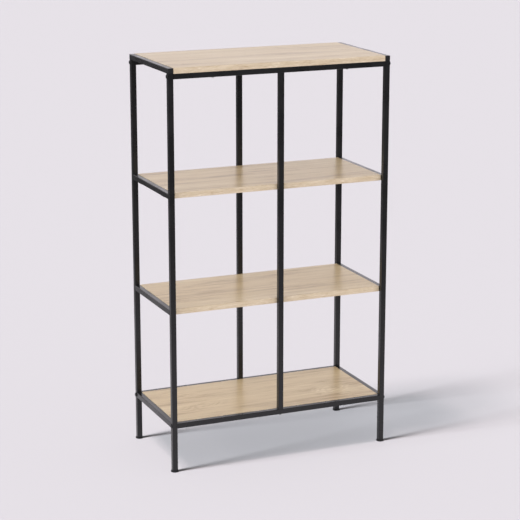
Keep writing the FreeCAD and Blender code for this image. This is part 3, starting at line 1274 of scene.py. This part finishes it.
@dataclass(frozen=True)
class Drive:
    """The recess in a fastener's head: a hexagon, or a cross whose arms are twice as wide as arm."""

    outline: Outline
    reach: float
    depth: float
    arm: float = 0.0
    chamfer: float = 0.12 * MM
    arm_chamfer: float = 0.10 * MM
    taper: float = 0.96
    arm_taper: float = 0.85

    def rings(self, top: float) -> list[Ring]:
        """Return the recess's outlines, from its mouth down to its floor.

        Args:
            top: the height of its mouth.

        Returns:
            The outlines.
        """
        return [
            Ring(self.outline, self.reach + self.chamfer, top, self.arm + self.arm_chamfer),
            Ring(self.outline, self.reach, top - self.chamfer, self.arm),
            Ring(self.outline, self.reach * self.taper, top - self.depth, self.arm * self.arm_taper),
        ]


@dataclass(frozen=True)
class Fastener:
    """A bolt or screw: its head, its recess and its threaded shank.

    tip_end and tip_ridge are shares of the thread's full size, at the tip's end and at its first ridge.
    ridge_root, ridge_crest and run_out are shares of the pitch.
    """

    name: str
    head_radius: float
    head_height: float
    rounding: float
    drive: Drive
    shank_radius: float
    shank_length: float
    pitch: float
    thread_depth: float
    plain: float
    tip: float
    tip_end: float = 0.15
    tip_ridge: float = 0.35
    ridge_root: tuple[float, ...] = (0.0, 0.30)
    ridge_crest: tuple[float, ...] = (0.48, 0.62)
    run_out: float = 0.2
    arris: float = 0.12 * MM
    rounding_steps: int = 6
    sides: int = 48

    def source(self, material: bpy.types.Material) -> bpy.types.Object:
        """Make one fastener, its head standing on z = 0 and its shank running down.

        Args:
            material: its finish.

        Returns:
            The fastener.
        """
        maker = MeshMaker()
        maker.turned(self.shank_rings() + self.head_rings(), even_angles(self.sides))
        return maker.to_object(f"{self.name}_source", material)

    def shank_rings(self) -> list[Ring]:
        """Return the shank's outlines from its tip up, with a ridge for each turn of the thread.

        Returns:
            The outlines.
        """
        root = self.shank_radius - self.thread_depth
        bottom = -self.shank_length
        ridge = [(rise, root) for rise in self.ridge_root]
        ridge += [(rise, self.shank_radius) for rise in self.ridge_crest]
        rings = [Ring(Outline.ROUND, root * self.tip_end, bottom)]
        turns = int((self.shank_length - self.plain) / self.pitch) - 1
        for turn in range(turns):
            base = bottom + self.pitch * (turn + 0.5)
            size = self.tip_ridge + (1.0 - self.tip_ridge) * min(1.0, (base - bottom) / self.tip)
            for rise, reach in ridge:
                rings.append(Ring(Outline.ROUND, reach * size, base + rise * self.pitch))
        neck = -self.plain
        rings.append(Ring(Outline.ROUND, root, neck - self.run_out * self.pitch))
        rings.append(Ring(Outline.ROUND, self.shank_radius, neck))
        rings.append(Ring(Outline.ROUND, self.shank_radius, 0.0))
        return rings

    def head_rings(self) -> list[Ring]:
        """Return the head's outlines from its seat up, over its rim and down into its recess.

        Returns:
            The outlines.
        """
        radius = self.head_radius
        top = self.head_height
        rings = [Ring(Outline.ROUND, radius - self.arris, 0.0), Ring(Outline.ROUND, radius, self.arris)]
        for drop, inwards in rounded_edge(self.rounding_steps):
            rings.append(Ring(Outline.ROUND, radius - self.rounding * inwards, top - self.rounding * drop))
        return rings + self.drive.rings(top)


FRAME_BOLT = Fastener(
    name="frame_bolt",
    head_radius=6.0 * MM,
    head_height=3.0 * MM,
    rounding=1.8 * MM,
    drive=Drive(Outline.HEXAGON, reach=2.0 * MM, depth=1.95 * MM),
    shank_radius=2.95 * MM,
    shank_length=30.0 * MM,
    pitch=1.0 * MM,
    thread_depth=0.5 * MM,
    plain=12.0 * MM,
    tip=1.0 * MM,
)
UPRIGHT_BOLT = Fastener(
    name="upright_bolt",
    head_radius=4.6 * MM,
    head_height=2.6 * MM,
    rounding=1.56 * MM,
    drive=Drive(Outline.HEXAGON, reach=1.5 * MM, depth=1.69 * MM),
    shank_radius=2.45 * MM,
    shank_length=30.0 * MM,
    pitch=0.8 * MM,
    thread_depth=0.4 * MM,
    plain=12.0 * MM,
    tip=0.8 * MM,
)
SHELF_SCREW = Fastener(
    name="shelf_screw",
    head_radius=3.8 * MM,
    head_height=2.2 * MM,
    rounding=1.32 * MM,
    drive=Drive(Outline.CROSS, reach=2.2 * MM, depth=1.2 * MM, arm=0.5 * MM),
    shank_radius=2.0 * MM,
    shank_length=13.0 * MM,
    pitch=1.5 * MM,
    thread_depth=0.6 * MM,
    plain=2.0 * MM,
    tip=3.5 * MM,
)
TOP_SCREW = replace(SHELF_SCREW, name="top_board_screw", shank_length=26.0 * MM, plain=14.0 * MM)


@dataclass
class Hardware:
    """The bolts, screws and threaded inserts."""

    bolt: bpy.types.Material
    zinc: bpy.types.Material
    first_seed: int = 11

    def build(self) -> None:
        """Build every fastener in place of its node, and dress the inserts."""
        outer_sides = (Facing.LEFT, Facing.RIGHT)
        outer_ends = (Facing.DOWN, Facing.UP)
        below = (Facing.DOWN, Facing.DOWN)
        kinds = (
            (FRAME_BOLT, "frame_bolts", Slot.BOLT, self.bolt, outer_sides),
            (UPRIGHT_BOLT, "upright_bolts", Slot.BOLT, self.bolt, outer_ends),
            (SHELF_SCREW, "shelf_screws", Slot.ZINC, self.zinc, below),
            (TOP_SCREW, "top_board_screws", Slot.ZINC, self.zinc, below),
        )
        for seed, (fastener, node, slot, material, facings) in enumerate(kinds, start=self.first_seed):
            batch = Batch(f"{node}_detailed", node, slot, fastener.head_height, facings, seed)
            batch.build(fastener.source(material))
        for node in ("frame_bolt_inserts", "upright_bolt_inserts"):
            dress(node, self.zinc)


# ---------------------------------------------------------------- studio
class Lit(Enum):
    """What a softbox lights."""

    UNIT = "unit"
    FLOOR = "floor"


@dataclass(frozen=True)
class Softbox:
    """A wide, soft light: where it stands, how wide it looks and how bright a white face it makes.

    One that has no distance is so far away that it lights every part of the unit alike.  One that names the
    endings of some pieces is shaded by those pieces alone.
    """

    name: str
    azimuth: float
    elevation: float
    spread: float
    level: float
    lit: Lit = Lit.UNIT
    distance: float | None = None
    tint: Colour = (1.0, 1.0, 1.0)
    shaded_by: tuple[str, ...] = ()


@dataclass
class Studio:
    """The camera, the floor, the surroundings and the lights.

    The far, front, horizon and back levels are how bright the unit mirrors what is round it, as shares of the
    backdrop.  The two rises are the heights over which they change, on a sphere of radius one.
    """

    azimuth: float = -23.08
    elevation: float = 14.26
    distance: float = 5.110
    target: Triple = (0.0019, 0.0, 0.5460)
    lens_mm: float = 122.75
    sensor_mm: float = 36.0
    backdrop: Colour = (0.791, 0.752, 0.799)
    floor_reach: float = 60.0
    floor_paint: float = 0.50
    floor_bounces: int = 1
    # How far from the middle the floor's painted darkening in reflections starts and ends.
    reflection_dimming_reach: Span = (0.4, 3.4)
    far_level: float = 0.16
    front_level: float = 0.95
    horizon_level: float = 1.65
    back_level: float = 1.30
    front_rise: Span = (0.08, 0.25)
    back_rise: Span = (0.02, 0.35)
    front_to_back: Span = (-0.5, 0.5)
    sky_level: float = 0.300
    softboxes: tuple[Softbox, ...] = (
        Softbox("key_left", -75.0, 23.0, 70.0, 0.58),
        Softbox("fill_front", 5.0, 18.0, 80.0, 0.75),
        Softbox("rim_back", 175.0, 40.0, 80.0, 0.10),
        Softbox("low_left", -90.0, 25.0, 16.0, 0.24, distance=2.2),
        Softbox("low_right", 90.0, 25.0, 16.0, 0.24, distance=2.2),
        Softbox("floor_key_high", -83.0, 74.0, 6.0, 0.2874, Lit.FLOOR, tint=WARM),
        Softbox("floor_key_middle", -79.0, 65.0, 10.0, 0.3326, Lit.FLOOR, tint=WARM),
        Softbox("floor_key_low", -80.0, 30.0, 10.0, 0.1005, Lit.FLOOR, tint=WARM),
        Softbox("floor_fill", -87.0, 48.0, 12.0, 1.4641, Lit.FLOOR, tint=COOL, shaded_by=("_post", "_glide")),
    )

    def build(self) -> None:
        """Set up the whole studio."""
        self.make_camera()
        floor = self.make_floor()
        self.make_surroundings()
        lit = {Lit.UNIT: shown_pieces(), Lit.FLOOR: [floor]}
        for softbox in self.softboxes:
            self.make_light(softbox, lit[softbox.lit])
        bpy.context.scene.view_settings.view_transform = "Standard"

    def direction(self, azimuth: float, elevation: float) -> Vector:
        """Return the direction from the unit towards a place round it.

        Args:
            azimuth: degrees, 0 in front and 90 at the right.
            elevation: degrees above the horizon.

        Returns:
            A vector of length one.
        """
        turn = math.radians(azimuth)
        rise = math.radians(elevation)
        level = math.cos(rise)
        return Vector((math.sin(turn) * level, -math.cos(turn) * level, math.sin(rise)))

    def make_camera(self) -> None:
        """Make the camera and make it the scene's own."""
        data = bpy.data.cameras.new("camera")
        data.lens = self.lens_mm
        data.sensor_width = self.sensor_mm
        data.clip_end = 4.0 * self.floor_reach
        camera = in_scene("camera", data)
        back = self.direction(self.azimuth, self.elevation)
        camera.location = Vector(self.target) + back * self.distance
        camera.rotation_euler = (-back).to_track_quat("-Z", "Y").to_euler()
        bpy.context.scene.camera = camera

    def floor_finish(self) -> bpy.types.Material:
        """Make the floor's finish, which is painted darker far away in what the unit mirrors and is clear
        from below.

        Returns:
            The material.
        """
        material = bpy.data.materials.new("studio_floor")
        graph = cleared(material)
        path = graph.add("ShaderNodeLightPath").outputs
        paint = [self.floor_paint * colour for colour in self.backdrop]
        lit = graph.add("ShaderNodeBsdfDiffuse", {"Color": (*paint, 1.0)}).outputs[0]
        unlit = graph.add("ShaderNodeEmission", {"Strength": 0.0}).outputs[0]
        place = graph.add("ShaderNodeTexCoord").outputs["Object"]
        away = graph.add("ShaderNodeVectorMath", {0: place}, operation="LENGTH").outputs["Value"]
        # Painted reflection: in the unit's gloss the floor darkens with distance, down to far_level of its
        # lit colour, while the lamps light it the same everywhere.
        dimming = graph.spread(away, *self.reflection_dimming_reach, 0.0, 1.0 - self.far_level)
        mirrored = graph.math("MULTIPLY", path["Is Glossy Ray"], dimming)
        solid = graph.add("ShaderNodeMixShader", {0: mirrored, 1: lit, 2: unlit}).outputs[0]
        clear = graph.add("ShaderNodeBsdfTransparent").outputs[0]
        below = graph.add("ShaderNodeNewGeometry").outputs["Backfacing"]
        looked_through = graph.math("MULTIPLY", below, path["Is Camera Ray"])
        whole = graph.add("ShaderNodeMixShader", {0: looked_through, 1: solid, 2: clear}).outputs[0]
        graph.add("ShaderNodeOutputMaterial", {"Surface": whole})
        return material

    def make_floor(self) -> bpy.types.Object:
        """Make the floor, which keeps the unit's shadow and meets the backdrop without a line.

        Returns:
            The floor.
        """
        reach = self.floor_reach
        mesh = bpy.data.meshes.new("floor")
        corners = [(-reach, -reach, 0.0), (reach, -reach, 0.0), (reach, reach, 0.0), (-reach, reach, 0.0)]
        mesh.from_pydata(corners, [], [(0, 1, 2, 3)])
        mesh.materials.append(self.floor_finish())
        floor = in_scene("floor", mesh)
        floor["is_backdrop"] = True
        return floor

    def seen(self, graph: Graph) -> Socket:
        """Tell what looks at the surroundings from what they light.

        Args:
            graph: the surroundings' graph.

        Returns:
            1 for rays from the camera, a reflection or through glass, and 0 for the rest.
        """
        path = graph.add("ShaderNodeLightPath").outputs
        seen = graph.math("MAXIMUM", path["Is Camera Ray"], path["Is Glossy Ray"])
        return graph.math("MAXIMUM", seen, path["Is Transmission Ray"])

    def make_surroundings(self) -> None:
        """Make the surroundings: the backdrop's colour to look at, and an even sky to light by."""
        world = bpy.data.worlds.new("surroundings")
        graph = cleared(world)
        level = self.sky_level
        sky = graph.add("ShaderNodeBackground", {"Color": (level, level, level, 1.0), "Strength": 1.0})
        ray = graph.add("ShaderNodeTexCoord").outputs["Generated"]
        towards = graph.add("ShaderNodeSeparateXYZ", {0: ray}).outputs
        back = graph.spread(towards["Z"], *self.back_rise, self.horizon_level, self.back_level)
        front = graph.spread(towards["Z"], *self.front_rise, self.far_level, self.front_level)
        depth = graph.spread(towards["Y"], *self.front_to_back)
        level_seen = graph.math("MULTIPLY_ADD", depth, graph.math("SUBTRACT", back, front), front)
        mirrored = graph.add("ShaderNodeLightPath").outputs["Is Glossy Ray"]
        strength = graph.math("MULTIPLY_ADD", mirrored, graph.math("SUBTRACT", level_seen, 1.0), 1.0)
        look = graph.add("ShaderNodeBackground", {"Color": (*self.backdrop, 1.0), "Strength": strength})
        inputs = {0: self.seen(graph), 1: sky.outputs[0], 2: look.outputs[0]}
        mixed = graph.add("ShaderNodeMixShader", inputs)
        graph.add("ShaderNodeOutputWorld", {"Surface": mixed.outputs[0]})
        bpy.context.scene.world = world

    def make_light(self, softbox: Softbox, receivers: list[bpy.types.Object]) -> None:
        """Make one light that reaches only its own receivers.

        Args:
            softbox: the light.
            receivers: the objects that it lights.
        """
        towards = self.direction(softbox.azimuth, softbox.elevation)
        spread = math.radians(softbox.spread)
        if softbox.distance is None:
            data = bpy.data.lights.new(softbox.name, "SUN")
            data.energy = softbox.level * math.pi
            data.angle = spread
        else:
            data = bpy.data.lights.new(softbox.name, "AREA")
            data.shape = "DISK"
            data.energy = softbox.level * (math.pi * softbox.distance) ** 2
            data.size = 2.0 * softbox.distance * math.tan(spread / 2.0)
        data.color = softbox.tint
        if softbox.lit is Lit.FLOOR:
            data.cycles.max_bounces = self.floor_bounces
        light = in_scene(softbox.name, data)
        light.location = towards * (softbox.distance or 0.0)
        light.visible_glossy = False
        light.rotation_euler = towards.to_track_quat("Z", "Y").to_euler()
        light.light_linking.receiver_collection = self.group(f"{softbox.name}_lights", receivers)
        if softbox.shaded_by:
            blockers = [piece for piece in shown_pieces() if piece.name.endswith(softbox.shaded_by)]
            light.light_linking.blocker_collection = self.group(f"{softbox.name}_shadows", blockers)

    def group(self, name: str, members: list[bpy.types.Object]) -> bpy.types.Collection:
        """Put some objects in a new collection.

        Args:
            name: the collection's name.
            members: the objects.

        Returns:
            The collection.
        """
        collection = bpy.data.collections.new(name)
        for member in members:
            collection.objects.link(member)
        return collection


def main() -> None:
    """Build the unit's looks and the studio."""
    logging.basicConfig(level=logging.INFO, format="%(name)s: %(message)s")
    SteelFrame().build()
    band = OAK_BAND.material()
    for number, level in enumerate(OAK_FACINGS):
        Board(level, band, pattern_start=BAND_PATTERN_GAP * number).build()
    plastic = BLACK_PLASTIC.material()
    Feet(plastic).build()
    EndCaps(plastic).build()
    Hardware(BLACK_BOLT.material(), ZINC_PLATE.material()).build()
    Studio().build()


if __name__ == "__main__":
    main()
